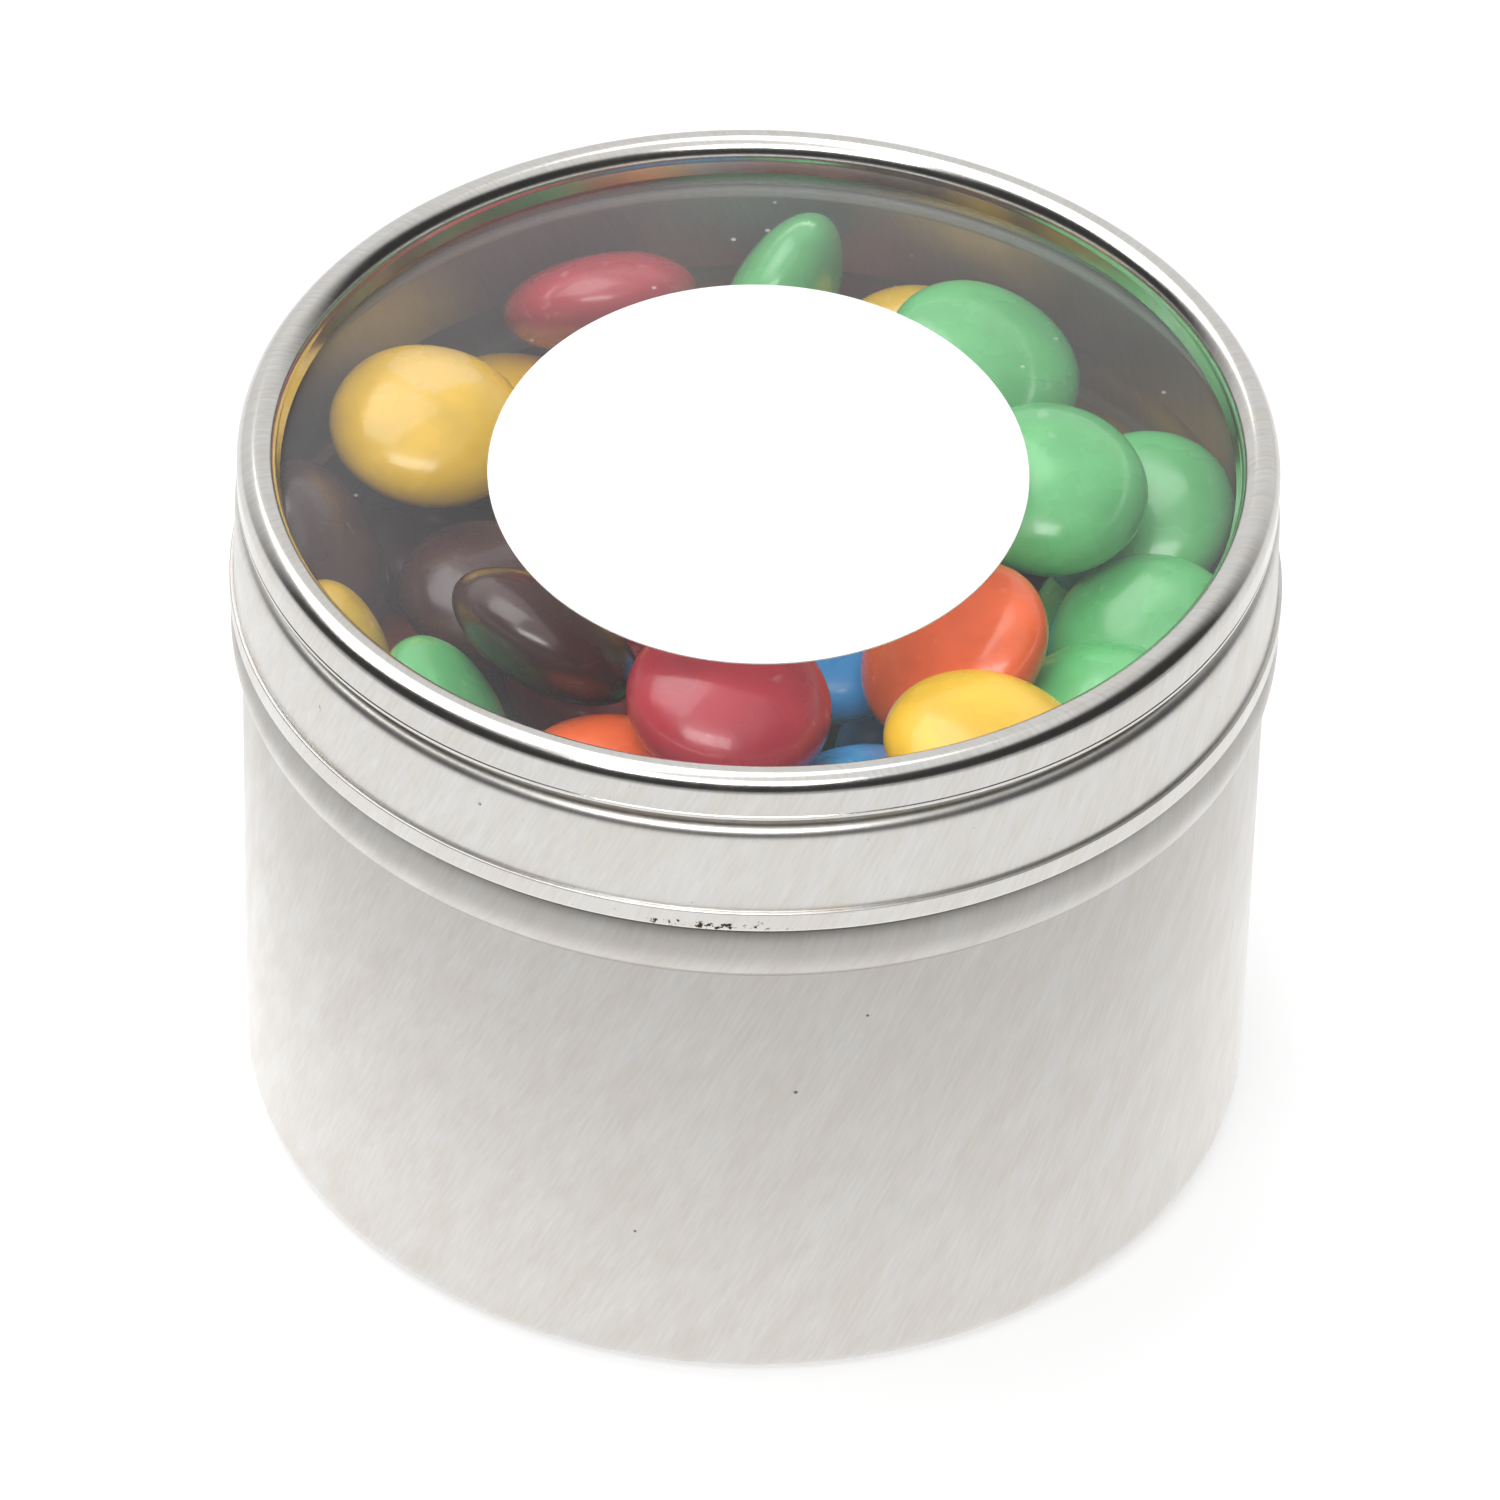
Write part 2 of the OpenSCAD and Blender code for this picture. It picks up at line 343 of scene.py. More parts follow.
def distance_to(tree, coords, place):
    """Distance from a place given in mm"""
    return vector_node(tree, "DISTANCE", coords, from_mm(place))["Value"]


def axes_of(tree, vector):
    """The outputs X, Y and Z of a vector"""
    n = tree.nodes.new("ShaderNodeSeparateXYZ")
    tree.links.new(vector, n.inputs[0])
    return n.outputs


def bumped(tree, shader, height, strength, distance):
    """Shade the surface as if it rose and sank with height, by up to distance in metres"""
    bump = node(tree, "ShaderNodeBump", {"Strength": strength, "Distance": distance})
    tree.links.new(height, bump.inputs["Height"])
    tree.links.new(bump.outputs["Normal"], shader.inputs["Normal"])


def rolled_grain():
    """Rolled tinplate: slanting fine lines and patches that go round the wall, and an even grain"""
    if "Rolled tinplate grain" in bpy.data.node_groups:
        return bpy.data.node_groups["Rolled tinplate grain"]
    tree, gin, gout = new_group(
        "Rolled tinplate grain",
        [("Vector", "NodeSocketVector", (0, 0, 0)), ("Radius", "NodeSocketFloat", 32.5 * MM)],
        [(k, "NodeSocketFloat") for k in ("Lines", "Patches", "Grain")])
    link = tree.links.new
    vector = gin.outputs["Vector"]
    axes = axes_of(tree, vector)
    turn = math_node(tree, "ARCTAN2", axes["X"], math_node(tree, "MULTIPLY", axes["Y"], -1.0))
    level = vector_node(tree, "MULTIPLY", vector, (1, 1, 0))[0]
    from_axis = vector_node(tree, "LENGTH", level)["Value"]
    unrolled = tree.nodes.new("ShaderNodeCombineXYZ")
    link(math_node(tree, "MULTIPLY", turn, gin.outputs["Radius"]), unrolled.inputs[0])
    link(math_node(tree, "ADD", axes["Z"], from_axis), unrolled.inputs[1])
    # scale across and along, slant in degrees, detail
    drawn_out = (("Lines", (4200, 400, 1), 24, 2.5), ("Patches", (480, 150, 1), 30, 5.0))
    for out, scale, slant, detail in drawn_out:
        place = node(tree, "ShaderNodeMapping", vector_type="POINT")
        link(unrolled.outputs[0], place.inputs["Vector"])
        place.inputs["Rotation"].default_value = (0, 0, math.radians(slant))
        drawn = vector_node(tree, "MULTIPLY", place.outputs[0], scale)[0]
        link(noise_of(tree, drawn, scale=1, detail=detail, rough=0.6), gout.inputs[out])
    link(noise_of(tree, vector, scale=8000, detail=1), gout.inputs["Grain"])
    return tree


def shaded_mix(tree, factor, low, high):
    """Mix of two colours given as tuples or sockets"""
    n = node(tree, "ShaderNodeMix", data_type="RGBA")
    # for colours, this node's inputs are numbers 6 and 7, and its output is number 2
    for i, v in ((6, low), (7, high)):
        if isinstance(v, tuple):
            n.inputs[i].default_value = v if len(v) == 4 else (*v, 1)
        else:
            tree.links.new(v, n.inputs[i])
    tree.links.new(factor, n.inputs[0])
    return n.outputs[2]


def new_material(name):
    """A material, its node tree, shader and Object coordinates; all but the material are None if it
    was made before"""
    old = bpy.data.materials.get(name)
    if old:
        return old, None, None, None
    mat = bpy.data.materials.new(name)
    mat.use_nodes = True
    tree = mat.node_tree
    shader = tree.nodes["Principled BSDF"]
    coords = tree.nodes.new("ShaderNodeTexCoord").outputs["Object"]
    return mat, tree, shader, coords


def tinplate(name, colour, roughness, zones=(), marks=(), dirt=None, wear_and_painted_highlight=None):
    """Bright tinplate with warm and cool patches, rolled lines and grain. Lengths are in mm.
    zones: (start, end, added roughness); roughness grows from start to end and stays so beyond.
    marks: (place, radius) of small dull spots. dirt: (place, reach) of a smear of dark specks.
    wear_and_painted_highlight: the height above which the metal turns dull."""
    mat, tree, shader, coords = new_material(name)
    if tree is None:
        return mat
    link = tree.links.new
    group = node(tree, "ShaderNodeGroup", node_tree=rolled_grain())
    link(coords, group.inputs["Vector"])
    lines, patches, grain = (group.outputs[k] for k in ("Lines", "Patches", "Grain"))
    r, g, b = colour
    warm, cool = (r * 0.965, g * 0.945, b * 0.92), (r * 0.99, g, b * 1.005)
    base = shaded_mix(tree, mapped(tree, patches, 0.4, 0.6), warm, cool)
    streak = mapped(tree, lines, 0.3, 0.7, 0.0, 0.22)
    base = shaded_mix(tree, streak, base, (r * 0.55, g * 0.55, b * 0.55))
    for place, radius in marks:
        spot = mapped(tree, distance_to(tree, coords, place), radius * MM, radius * 0.5 * MM)
        base = shaded_mix(tree, math_node(tree, "MULTIPLY", spot, 0.85), base, DULL_SPOT)
    if dirt:
        place, reach = dirt
        from_dirt = vector_node(tree, "SUBTRACT", coords, from_mm(place))[0]
        squeezed = vector_node(tree, "DIVIDE", from_dirt, from_mm(reach))[0]
        away = vector_node(tree, "LENGTH", squeezed)["Value"]
        near = mapped(tree, away, 0.2, 1.0, 0.2, 0.0)
        specks = noise_of(tree, coords, scale=2300, detail=4, rough=0.7)
        flecks = math_node(tree, "ADD", specks, near)
        base = shaded_mix(tree, mapped(tree, flecks, 0.7, 0.735), base, DARK_DIRT)
    link(base, shader.inputs["Base Color"])
    height = axes_of(tree, coords)["Z"]
    shader.inputs["Metallic"].default_value = 1.0
    if wear_and_painted_highlight:
        dulled = mapped(tree, height, wear_and_painted_highlight * MM, (wear_and_painted_highlight + 0.5) * MM, 1.0, 0.3)
        link(dulled, shader.inputs["Metallic"])
    satin = mapped(tree, patches, 0.35, 0.65, roughness + 0.02, roughness - 0.02)
    for start, end, added in zones:
        zone = mapped(tree, height, start * MM, end * MM, 0.0, added)
        satin = math_node(tree, "ADD", satin, zone, clamp=True)
    link(satin, shader.inputs["Roughness"])
    relief = math_node(tree, "ADD", math_node(tree, "MULTIPLY", lines, 0.7), grain)
    bumped(tree, shader, relief, strength=0.35, distance=0.006 * MM)
    return mat


def clear_sheet(name, colour):
    """Clear plastic with dust specks, faint smears and a fine haze that is thinnest near the front"""
    mat, tree, shader, coords = new_material(name)
    if tree is None:
        return mat
    link = tree.links.new
    smears = noise_of(tree, coords, scale=60, detail=3, rough=0.6)
    dust = node(tree, "ShaderNodeTexVoronoi", {"Scale": 320.0}, feature="F1")
    link(coords, dust.inputs["Vector"])
    specks = mapped(tree, dust.outputs["Distance"], 0.075, 0.03)
    sparse = mapped(tree, noise_of(tree, coords, scale=130, detail=1), 0.56, 0.62)
    specks = math_node(tree, "MULTIPLY", specks, sparse, clamp=True)
    shader.inputs["Base Color"].default_value = (*colour, 1)
    link(mapped(tree, smears, 0.3, 0.7, 0.02, 0.07), shader.inputs["Roughness"])
    shader.inputs["IOR"].default_value = 1.49
    thinnest = (2, -14, 47)
    outer_haze = mapped(tree, distance_to(tree, coords, thinnest), 14 * MM, 44 * MM, 0.0, 0.075)
    haze = math_node(tree, "ADD", mapped(tree, smears, 0.3, 0.75, 0.015, 0.035), outer_haze)
    dusty = math_node(tree, "MULTIPLY", specks, 0.45)
    link(math_node(tree, "ADD", haze, dusty, clamp=True), shader.inputs["Alpha"])
    return mat


def paper(name, colour):
    """Matt white paper with fine fibres"""
    mat, tree, shader, coords = new_material(name)
    if tree is None:
        return mat
    link = tree.links.new
    fibres = noise_of(tree, coords, scale=1400, detail=4, rough=0.7)
    c = tuple(colour)
    link(shaded_mix(tree, mapped(tree, fibres, 0.3, 0.7), tuple(v * 0.985 for v in c), c),
         shader.inputs["Base Color"])
    shader.inputs["Roughness"].default_value = 0.62
    bumped(tree, shader, fibres, strength=0.15, distance=0.01 * MM)
    return mat


def sugar_mottle():
    """Sugar shell: cloudy colour, fine pits and scattered pale rubs"""
    if "Sugar shell" in bpy.data.node_groups:
        return bpy.data.node_groups["Sugar shell"]
    tree, gin, gout = new_group(
        "Sugar shell",
        [("Vector", "NodeSocketVector", (0, 0, 0)), ("Rubs", "NodeSocketFloat", 0.55)],
        [(k, "NodeSocketFloat") for k in ("Cloud", "Rubbed", "Pits")])
    link = tree.links.new
    vector = gin.outputs["Vector"]
    link(noise_of(tree, vector, scale=190, detail=3, rough=0.55), gout.inputs["Cloud"])
    patch = noise_of(tree, vector, scale=420, detail=3, rough=0.6)
    high = math_node(tree, "ADD", gin.outputs["Rubs"], 0.07)
    n = node(tree, "ShaderNodeMapRange")
    link(patch, n.inputs["Value"])
    link(gin.outputs["Rubs"], n.inputs["From Min"])
    link(high, n.inputs["From Max"])
    link(n.outputs["Result"], gout.inputs["Rubbed"])
    link(noise_of(tree, vector, scale=1700), gout.inputs["Pits"])
    return tree


def sugar(name, colour, rubs=0.66, wear_and_painted_highlight=()):
    """Glossy sugar shell. A higher value of rubs makes the pale rubs rarer. The last argument is a
    list of (place, radius) in mm of larger pale patches, which are painted highlights."""
    mat, tree, shader, coords = new_material(name)
    if tree is None:
        return mat
    link = tree.links.new
    group = node(tree, "ShaderNodeGroup", node_tree=sugar_mottle())
    group.inputs["Rubs"].default_value = rubs
    link(coords, group.inputs["Vector"])
    c = tuple(colour)
    deep = tuple(v * 0.78 for v in c)
    pale = tuple(v + (1 - v) * 0.3 for v in c)
    base = shaded_mix(tree, mapped(tree, group.outputs["Cloud"], 0.35, 0.65), deep, c)
    base = shaded_mix(tree, math_node(tree, "MULTIPLY", group.outputs["Rubbed"], 0.35), base, pale)
    # each larger pale patch is a painted highlight
    for place, radius in wear_and_painted_highlight:
        fray = mapped(tree, group.outputs["Cloud"], 0.3, 0.7, -1.2 * MM, 1.2 * MM)
        ragged = math_node(tree, "ADD", distance_to(tree, coords, place), fray)
        spot = mapped(tree, ragged, radius * MM, radius * 0.85 * MM)
        base = shaded_mix(tree, math_node(tree, "MULTIPLY", spot, 0.4), base, pale)
    link(base, shader.inputs["Base Color"])
    link(mapped(tree, group.outputs["Cloud"], 0.3, 0.7, 0.2, 0.34), shader.inputs["Roughness"])
    shader.inputs["IOR"].default_value = 1.5
    shader.inputs["Coat Weight"].default_value = 0.35
    shader.inputs["Coat Roughness"].default_value = 0.09
    bumped(tree, shader, group.outputs["Pits"], strength=0.25, distance=0.05 * MM)
    return mat


# Pieces

class WINDOWTIN_OT_body(bpy.types.Operator):
    """Turn the tinplate body: base, wall, stop bead, drawn-in neck and curled mouth"""
    bl_idname = "window_tin.body"
    bl_label = "Tin body"

    def execute(self, context):
        s = context.scene.window_tin_sizes
        p = Plan(s)
        curl = arc(p.neck_r - s.curl_r, p.mouth_z - s.curl_r, s.curl_r, 0, 300, 16)
        under_curl = p.mouth_z - 2.2 * s.curl_r
        inside = [q for q in reversed(p.body_line(s.plate)) if q[1] < under_curl]
        line = p.body_line(0) + curl[1:] + inside
        obj = turned("Tin_body", held(line), s.sides, "pole", "pole")
        c = context.scene.window_tin_colours
        marks = [((3.3, -32.3, 24.5), 0.17), ((-6.5, -31.8, 11.9), 0.14),
                 ((7.6, -31.6, 30.4), 0.13)]
        # the body's tinplate colour is painted darker than the lid's, as painted shade under the lid
        # the top of the neck and its curled edge are duller than the wall
        finish_piece(obj, "tin", ["tin_body"],
                     tinplate("Bright tinplate", c.metal, roughness=0.34,
                              zones=[(44, 44.6, 0.25)], marks=marks, wear_and_painted_highlight=43.9))
        return {"FINISHED"}


class WINDOWTIN_OT_lid(bpy.types.Operator):
    """Turn the lid ring: hemmed skirt, shoulder, lock groove, riser and rim bead"""
    bl_idname = "window_tin.lid"
    bl_label = "Lid ring"

    def execute(self, context):
        s = context.scene.window_tin_sizes
        p = Plan(s)
        inside = p.lid_line(s.plate)
        outside = p.lid_line(0)
        fold, lip = 0.16 * MM, 0.1 * MM
        hem = [(p.skirt_low - s.plate, p.hem_z + 0.06 * MM), (p.skirt_low - 0.7 * s.plate, p.hem_z)]
        hem += arc(p.skirt_low + s.hem_out - fold, p.hem_z + fold, fold, -90, 0, 5)
        hem += arc(p.skirt_low + s.hem_out - lip, p.hem_z + s.hem_h - lip, lip, 0, 80, 4)
        hem += [(p.skirt_low + 0.02 * MM, p.hem_z + s.hem_h - 0.02 * MM)]
        line = hem + outside[1:] + list(reversed(inside[1:]))
        obj = turned("Lid_ring", held(line), s.sides)
        c = context.scene.window_tin_colours
        # below the riser the lid is rougher than its rim
        # the lid's tinplate colour is painted lighter than the body's, the body's darker copy being
        # painted shade
        finish_piece(obj, "lid", ["lid_shell"],
                     tinplate("Bright lid tinplate", c.lid_metal_painted_lighter, roughness=0.18,
                              zones=[(46.8, 46.2, 0.16)], dirt=((-2, -33.2, 38.9), (9, 2, 0.55))))
        return {"FINISHED"}


class WINDOWTIN_OT_window(bpy.types.Operator):
    """Turn the clear window with its short skirt"""
    bl_idname = "window_tin.window"
    bl_label = "Clear window"

    def execute(self, context):
        s = context.scene.window_tin_sizes
        p = Plan(s)
        w, z = p.window_r, p.window_z
        inside, foot = w - s.window_skirt, p.mouth_z + s.window_seat
        middle, edge = 14 * MM, 0.2 * MM
        line = [(middle, z - s.window_t), (inside - 0.2 * MM, z - s.window_t)]
        line += [(inside, z - s.window_t - 0.15 * MM), (inside, foot), (w, foot)]
        line += arc(w - edge, z - edge, edge, 0, 90, 5)
        line += [(middle, z)]
        obj = turned("Clear_window", held(line), s.sides, "pole", "pole")
        c = context.scene.window_tin_colours
        finish_piece(obj, "lid", ["lid_window"],
                     clear_sheet("Clear hazy plastic", c.haze))
        return {"FINISHED"}


class WINDOWTIN_OT_label(bpy.types.Operator):
    """Cut the plain oval label from a disc, with softly rounded edges"""
    bl_idname = "window_tin.label"
    bl_label = "Oval label"

    def execute(self, context):
        s = context.scene.window_tin_sizes
        p = Plan(s)
        lift = 0.005 * MM
        deselect()
        bpy.ops.mesh.primitive_circle_add(vertices=160, radius=1.0, fill_type="NGON",
                                          location=(0, 0, 0))
        obj = context.object
        obj.name = obj.data.name = "Oval_label"
        bpy.ops.object.mode_set(mode="EDIT")
        bpy.ops.mesh.select_all(action="SELECT")
        bpy.ops.transform.resize(value=(s.label_w / 2, s.label_l / 2, 1))
        bpy.ops.transform.translate(value=(0, -s.label_off, p.window_z + lift))
        bpy.ops.mesh.inset(thickness=0.3 * MM, depth=0)
        bpy.ops.mesh.select_all(action="SELECT")
        bpy.ops.mesh.extrude_region_move(TRANSFORM_OT_translate={"value": (0, 0, s.label_t - lift)})
        bpy.ops.mesh.select_all(action="SELECT")
        bpy.ops.mesh.normals_make_consistent(inside=False)
        bpy.ops.object.mode_set(mode="OBJECT")
        bevel = obj.modifiers.new("Soft edge", "BEVEL")
        bevel.width = 0.03 * MM
        bevel.segments = 2
        bevel.angle_limit = math.radians(50)
        apply_modifiers(obj)
        bpy.ops.object.shade_smooth_by_angle(angle=math.radians(35))
        c = context.scene.window_tin_colours
        finish_piece(obj, "lid", ["window_label"], paper("White label paper", c.label))
        # the sweets under the label stay as bright as the rest
        obj.visible_shadow = False
        return {"FINISHED"}


# The place tables are written for sweets of this diameter. The highest flat layer then lies this deep
# below the window's underside.
TABLE_SWEET_D = 13.2 * MM
FLAT_LAYER_DEPTH = 22.9 * MM
# Clearances of flat sweets: between layers, between rings and to the wall, and within the inner ring
LAYER_GAP = 0.1 * MM
RING_GAP = 0.3 * MM
INNER_RING_GAP = 0.2 * MM
# Top layer as seen through the window: colour; x, y and depth below the window's underside in mm;
# lean from lying flat, and direction of the lean, in degrees
TOP_LAYER = [
    ("red", -10.5, 24.3, 6, 40, 105),
    ("green", 1, 25.5, 6.6, 75, 155),
    ("yellow", 10, 22.5, 10.5, 35, -90),
    ("yellow", -21, 10.5, 5.4, 10, -45),
    ("green", 14.3, 18.3, 5.2, 20, -15),
    ("green", 18.3, 4, 3.9, 13, -80),
    ("green", 24.2, 8.3, 9.9, 25, -140),
    ("green", 25, -3.3, 11, 33, -100),
    ("green", 20.7, -12.4, 9.4, 25, -175),
    ("orange", 12.5, -8.8, 6.7, 33, -155),
    ("yellow", 14.5, -20.8, 4.3, 10, 5),
    ("blue", 4.7, -1.6, 12.9, 0, 0),
    ("blue", 7.5, -20.7, 9.9, 10, 90),
    ("red", -1.4, -17.6, 3.9, 15, -50),
    ("orange", -9, -21, 9.9, 20, -90),
    ("brown", -13, -10, 5.4, 42, 45),
    ("brown", -16.3, 0.9, 11.4, 10, 0),
    ("brown", -27.5, 2.2, 9.6, 60, 0),
    ("yellow", -25.7, -10.7, 8.7, 74, 3),
    ("green", -18.9, -15.7, 8.6, 60, 2),
    ("yellow", -16, 18.5, 11.7, 0, 0),
]
ORDER = ["red", "orange", "yellow", "green", "blue", "brown"]
# Sweets nested between the flat layers and the top layer, by their number in each ring
NEST_OUTER = (0, 1, 2, 3, 4, 7, 8, 9)
NEST_INNER = (0, 1)


def lower_places(s, p):
    """Colour number, ring radius, angle and height of each flat sweet: layers of two rings, one
    inside the other, and a nested layer over them"""
    d, half = s.sweet_d, s.sweet_d * s.sweet_flat / 2
    low = s.plate + half + LAYER_GAP
    high = p.head_z - FLAT_LAYER_DEPTH * d / TABLE_SWEET_D
    layers = int((high - low) / (2 * half + LAYER_GAP)) + 1
    step = (high - low) / max(layers - 1, 1)
    ring_1 = p.inner_r - d / 2 - RING_GAP
    ring_2 = ring_1 - d - RING_GAP
    count_1 = int(math.pi / math.asin((d + RING_GAP) / 2 / ring_1))
    count_2 = int(math.pi / math.asin((d + INNER_RING_GAP) / 2 / ring_2))
    turn_1, turn_2 = 2 * math.pi / count_1, 2 * math.pi / count_2
    for k in range(layers):
        for i in range(count_1):
            yield (i * 5 + k * 2 + i // 6) % 6, ring_1, i * turn_1, low + k * step
        for i in range(count_2):
            yield (i * 4 + k * 5 + 1 + i // 3) % 6, ring_2, i * turn_2, low + k * step
    nest = high + 2 * half * 0.82
    for i in NEST_OUTER:
        yield (i * 5 + 3) % 6, ring_1, (i + 0.5) * turn_1, nest
    for i in NEST_INNER:
        yield i + 4, ring_2, (i + 0.5) * turn_2, nest


def lay_sweet(context, pattern, place, turn=Matrix.Identity(3)):
    """A copy of the pattern, turned and placed in its mesh"""
    obj = bpy.data.objects.new("sweet", pattern.data.copy())
    context.collection.objects.link(obj)
    obj.matrix_world = Matrix.Translation(place) @ turn.to_4x4()
    pick(obj)
    bpy.ops.object.transform_apply(location=True, rotation=True, scale=True)
    return obj


def sweet_pattern(name, s, around, rings):
    """One sweet about the origin, to be copied: a ball pressed flat, a trace smaller than its size"""
    deselect()
    bpy.ops.mesh.primitive_uv_sphere_add(segments=around, ring_count=rings,
                                         radius=s.sweet_d / 2 * 0.995, location=(0, 0, 0))
    obj = bpy.context.object
    obj.name = name
    bpy.ops.object.mode_set(mode="EDIT")
    bpy.ops.mesh.select_all(action="SELECT")
    bpy.ops.transform.resize(value=(1, 1, s.sweet_flat * 0.985))
    bpy.ops.object.mode_set(mode="OBJECT")
    bpy.ops.object.shade_smooth()
    return obj


class WINDOWTIN_OT_sweets(bpy.types.Operator):
    """Fill the tin with lentil-shaped sweets, one object for each colour"""
    bl_idname = "window_tin.sweets"
    bl_label = "Sweets"

    def execute(self, context):
        s = context.scene.window_tin_sizes
        c = context.scene.window_tin_colours
        p = Plan(s)
        fine = sweet_pattern("Sweet_pattern_fine", s, 56, 36)
        plain = sweet_pattern("Sweet_pattern_plain", s, 28, 14)
        uneven = bpy.data.textures.new("Uneven shell", "CLOUDS")
        uneven.noise_scale = 9 * MM
        uneven.noise_depth = 1
        batches = {colour: [] for colour in ORDER}
        scale = s.sweet_d / TABLE_SWEET_D
        for colour, x, y, depth, lean, way in TOP_LAYER:
            place = Vector((x * scale * MM, y * scale * MM, p.head_z - depth * scale * MM))
            leaning = Euler((0, math.radians(lean), 0)).to_matrix()
            turn = Euler((0, 0, math.radians(way))).to_matrix() @ leaning
            obj = lay_sweet(context, fine, place, turn)
            m = obj.modifiers.new("Uneven", "DISPLACE")
            m.texture = uneven
            m.texture_coords = "LOCAL"
            m.mid_level = 0.85
            m.strength = 0.32 * MM
            apply_modifiers(obj)
            batches[colour].append(obj)
        for which, r, a, z in lower_places(s, p):
            obj = lay_sweet(context, plain, Vector((r * math.cos(a), r * math.sin(a), z)))
            batches[ORDER[which]].append(obj)
        # how rare the pale rubs are, and the large pale patch on one yellow sweet, a painted
        # highlight
        looks = {
            "red": dict(rubs=0.64), "orange": dict(rubs=0.68), "green": dict(rubs=0.66),
            "blue": dict(rubs=0.68), "brown": dict(rubs=0.7),
            "yellow": dict(rubs=0.68, wear_and_painted_highlight=[((-20.8, 12.6, 45.2), 2.9)]),
        }
        for colour, objs in batches.items():
            deselect()
            for obj in objs:
                obj.select_set(True)
            context.view_layer.objects.active = objs[0]
            bpy.ops.object.join()
            whole = context.object
            whole.name = whole.data.name = "Sweets_" + colour
            finish_piece(whole, "tin", ["sweets_" + colour],
                         sugar("Sugar shell " + colour, getattr(c, colour), **looks[colour]))
        for pattern in (fine, plain):
            bpy.data.objects.remove(pattern, do_unlink=True)
        return {"FINISHED"}


# Camera of the photograph: lens on a 36 mm sensor, place in metres, and the directions right and up
LENS = 273.93
CAMERA_PLACE = (0, -0.5535, 0.5025)
CAMERA_RIGHT = (0.99967, 0.01696, 0.01947)
CAMERA_UP = (-0.02582, 0.6534, 0.75658)
# Strength at which the grey floor, with the lamps' light on it, is seen as white
FLOOR_GLOW = 0.62
LAMP_AIM = (0, 0, 0.04)
WHITE = (1, 1, 1, 1)


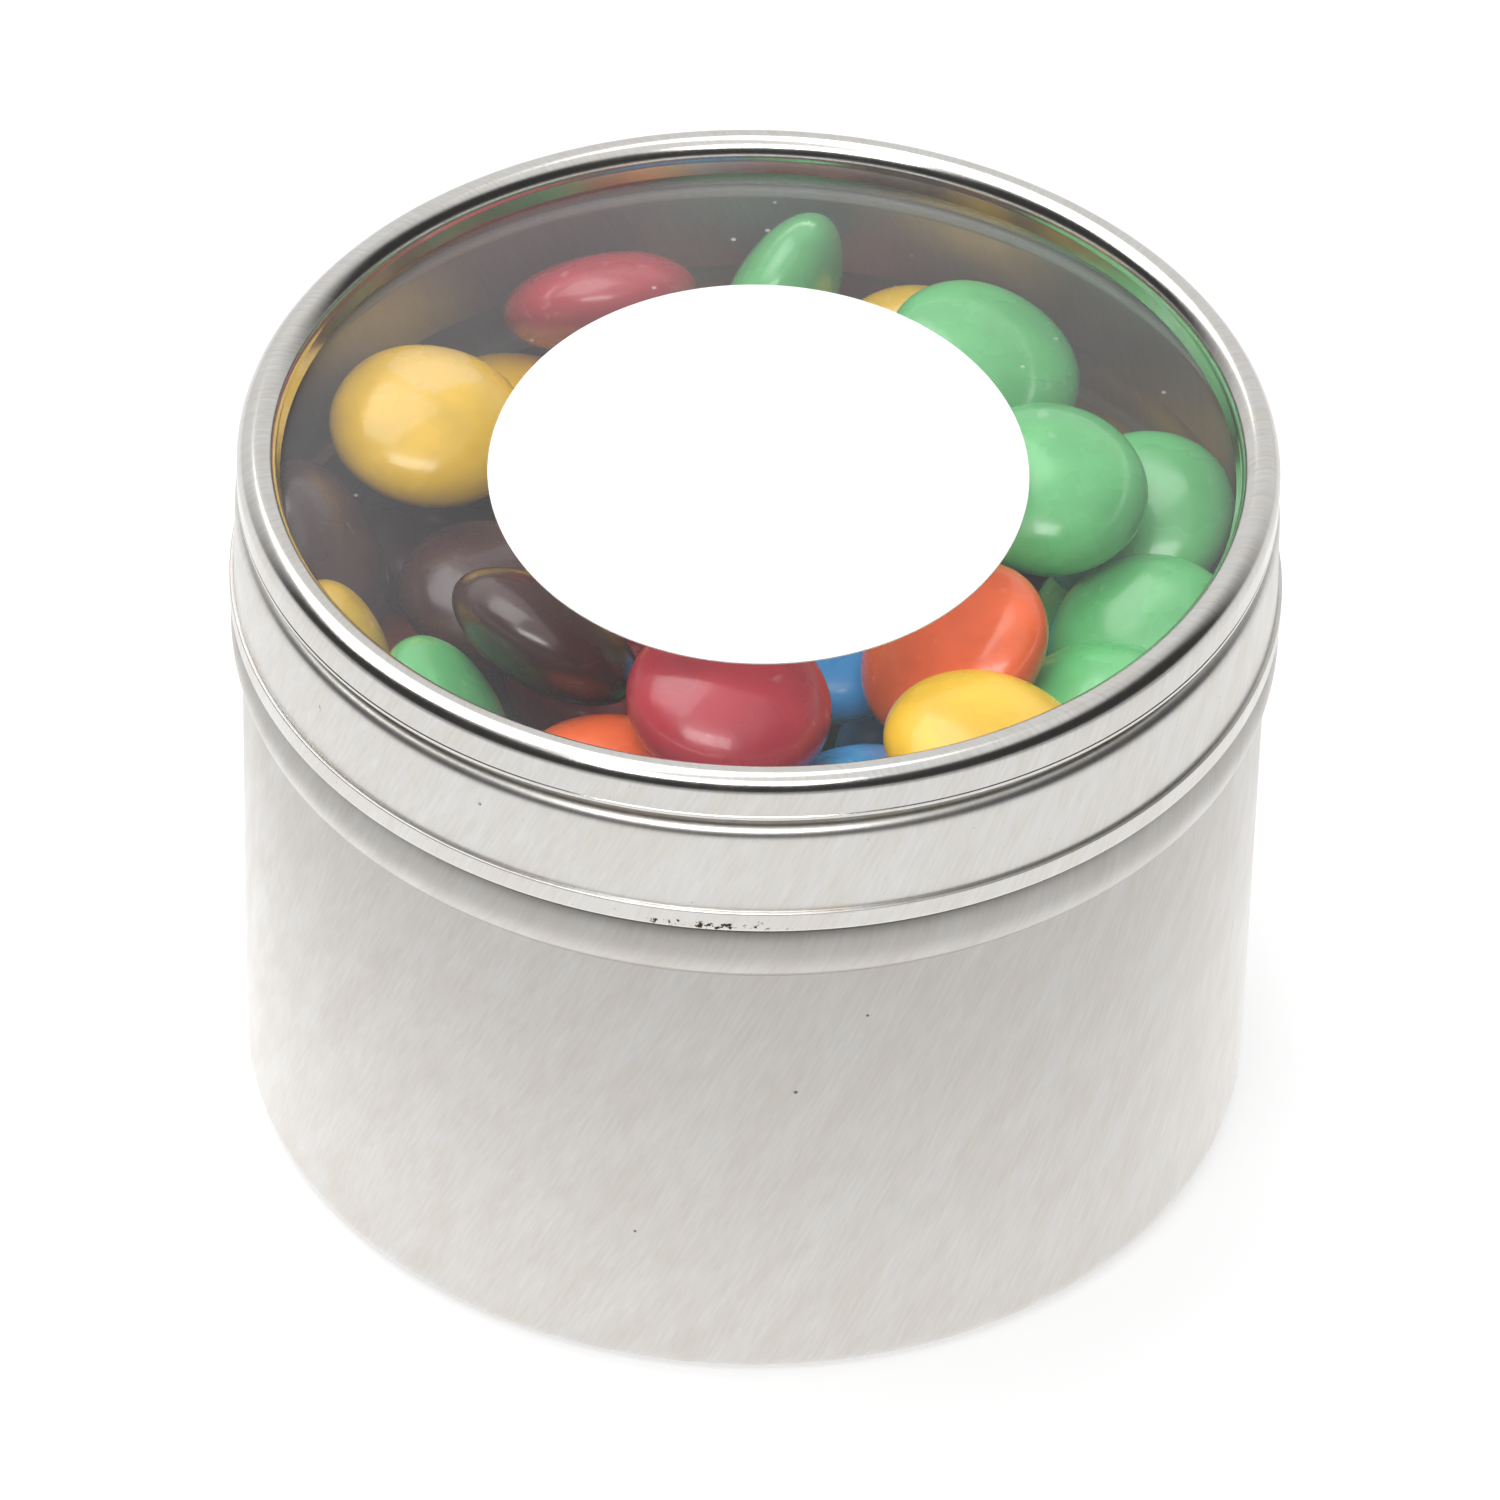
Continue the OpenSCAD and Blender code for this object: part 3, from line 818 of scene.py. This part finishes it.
class WINDOWTIN_OT_stage(bpy.types.Operator):
    """Set the white floor, the studio light and the camera"""
    bl_idname = "window_tin.stage"
    bl_label = "Stage, light and camera"

    def execute(self, context):
        scene = context.scene
        deselect()
        bpy.ops.mesh.primitive_circle_add(vertices=96, radius=6.0, fill_type="NGON",
                                          location=(0, 0, -0.05 * MM))
        floor = context.object
        floor.name = "Floor"
        bpy.ops.object.transform_apply(location=True, rotation=True, scale=True)
        floor.data.materials.append(self.floor_paint())
        self.sky(scene)
        self.lamp("Overhead panel", (-0.3, 0.25, 0.85), (0.8, 0.7), 4.8)
        self.lamp("Front card", (-0.1, -0.6, 0.95), (0.7, 0.3), 5.0)
        self.camera(scene)
        scene.view_settings.view_transform = "Standard"
        return {"FINISHED"}

    def camera(self, scene):
        """A camera where the photograph was taken from"""
        data = bpy.data.cameras.new("Photo camera")
        camera = bpy.data.objects.new("Photo camera", data)
        scene.collection.objects.link(camera)
        data.sensor_width = 36
        data.lens = LENS
        data.clip_start = 0.01
        right, up = Vector(CAMERA_RIGHT), Vector(CAMERA_UP)
        turn = Matrix((right, up, right.cross(up))).transposed().to_4x4()
        camera.matrix_world = Matrix.Translation(CAMERA_PLACE) @ turn
        scene.camera = camera

    def floor_paint(self):
        """White to the camera and through the window; in the metal it is brightest beside the tin,
        and dark far off in front"""
        mat = bpy.data.materials.new("White studio floor")
        mat.use_nodes = True
        tree = mat.node_tree
        shader = tree.nodes["Principled BSDF"]
        shader.inputs["Base Color"].default_value = (0.5, 0.5, 0.5, 1)
        shader.inputs["Roughness"].default_value = 1.0
        shader.inputs["Specular IOR Level"].default_value = 0.0
        path = tree.nodes.new("ShaderNodeLightPath")
        coords = tree.nodes.new("ShaderNodeTexCoord").outputs["Object"]
        away = vector_node(tree, "LENGTH", coords)["Value"]
        # painted light: a pool of glow on the floor, seen only in the metal, brightest beside the tin
        # and dark far off in front
        beside = mapped(tree, away, 38 * MM, 78 * MM, 1.1, 0.4)
        in_front = mapped(tree, axes_of(tree, coords)["Y"], 0.1, -0.05)
        far = math_node(tree, "MULTIPLY", mapped(tree, away, 0.3, 0.6), in_front)
        mirrored = math_node(tree, "MULTIPLY", beside, math_node(tree, "SUBTRACT", 1.0, far))
        mirrored = math_node(tree, "MULTIPLY", mirrored, path.outputs["Is Glossy Ray"])
        seen = math_node(tree, "MAXIMUM", path.outputs["Is Camera Ray"],
                         path.outputs["Is Transmission Ray"])
        seen = math_node(tree, "MULTIPLY", seen, FLOOR_GLOW)
        glow = node(tree, "ShaderNodeEmission", {"Color": WHITE})
        tree.links.new(math_node(tree, "MAXIMUM", seen, mirrored), glow.inputs["Strength"])
        both = tree.nodes.new("ShaderNodeAddShader")
        tree.links.new(shader.outputs[0], both.inputs[0])
        tree.links.new(glow.outputs[0], both.inputs[1])
        tree.links.new(both.outputs[0], tree.nodes["Material Output"].inputs["Surface"])
        return mat

    def sky(self, scene):
        """Bright overhead and behind the tin, dark in front and at the sides, with a pale strip along
        the horizon"""
        world = bpy.data.worlds.new("Studio")
        scene.world = world
        world.use_nodes = True
        tree = world.node_tree
        coords = tree.nodes.new("ShaderNodeTexCoord").outputs["Generated"]
        axes = axes_of(tree, coords)
        behind = mapped(tree, axes["Y"], 0.28, 0.7, 0.04, 0.85)
        horizon = mapped(tree, axes["Z"], 0.03, 0.16, 0.6, 0.0)
        low = math_node(tree, "MAXIMUM", behind, horizon)
        overhead = mapped(tree, axes["Z"], 0.74, 0.86)
        low = math_node(tree, "MULTIPLY", low, math_node(tree, "SUBTRACT", 1.0, overhead))
        glow = math_node(tree, "ADD", low, math_node(tree, "MULTIPLY", overhead, 0.9))
        tree.links.new(glow, tree.nodes["Background"].inputs["Strength"])
        tree.nodes["Background"].inputs["Color"].default_value = WHITE

    def lamp(self, name, place, size, power):
        """A soft rectangular lamp aimed at the tin; place and size in metres, power in watts"""
        data = bpy.data.lights.new(name, "AREA")
        data.shape = "RECTANGLE"
        data.size, data.size_y = size
        data.energy = power
        lamp = bpy.data.objects.new(name, data)
        bpy.context.scene.collection.objects.link(lamp)
        aim = (Vector(LAMP_AIM) - Vector(place)).to_track_quat("-Z", "Y")
        lamp.matrix_world = Matrix.Translation(place) @ aim.to_matrix().to_4x4()


class WINDOWTIN_PT_panel(bpy.types.Panel):
    """Panel with the sizes, the colours and one button for each piece"""
    bl_idname = "WINDOWTIN_PT_panel"
    bl_label = "Window lid tin"
    bl_space_type = "VIEW_3D"
    bl_region_type = "UI"
    bl_category = "Window tin"

    def draw(self, context):
        column = self.layout.column()
        for group in (context.scene.window_tin_sizes, context.scene.window_tin_colours):
            for key in group.__annotations__:
                column.prop(group, key)
        for operator in STEPS:
            column.operator(operator.bl_idname)


STEPS = [WINDOWTIN_OT_body, WINDOWTIN_OT_lid, WINDOWTIN_OT_window, WINDOWTIN_OT_label,
         WINDOWTIN_OT_sweets, WINDOWTIN_OT_stage]
CLASSES = [WindowTinSizes, WindowTinColours, *STEPS, WINDOWTIN_PT_panel]


def register():
    for c in CLASSES:
        bpy.utils.register_class(c)
    bpy.types.Scene.window_tin_sizes = PointerProperty(type=WindowTinSizes)
    bpy.types.Scene.window_tin_colours = PointerProperty(type=WindowTinColours)


def unregister():
    del bpy.types.Scene.window_tin_colours
    del bpy.types.Scene.window_tin_sizes
    for c in reversed(CLASSES):
        bpy.utils.unregister_class(c)


def main():
    register()
    for step in ("body", "lid", "window", "label", "sweets", "stage"):
        getattr(bpy.ops.window_tin, step)()
    deselect()


if __name__ == "__main__":
    main()
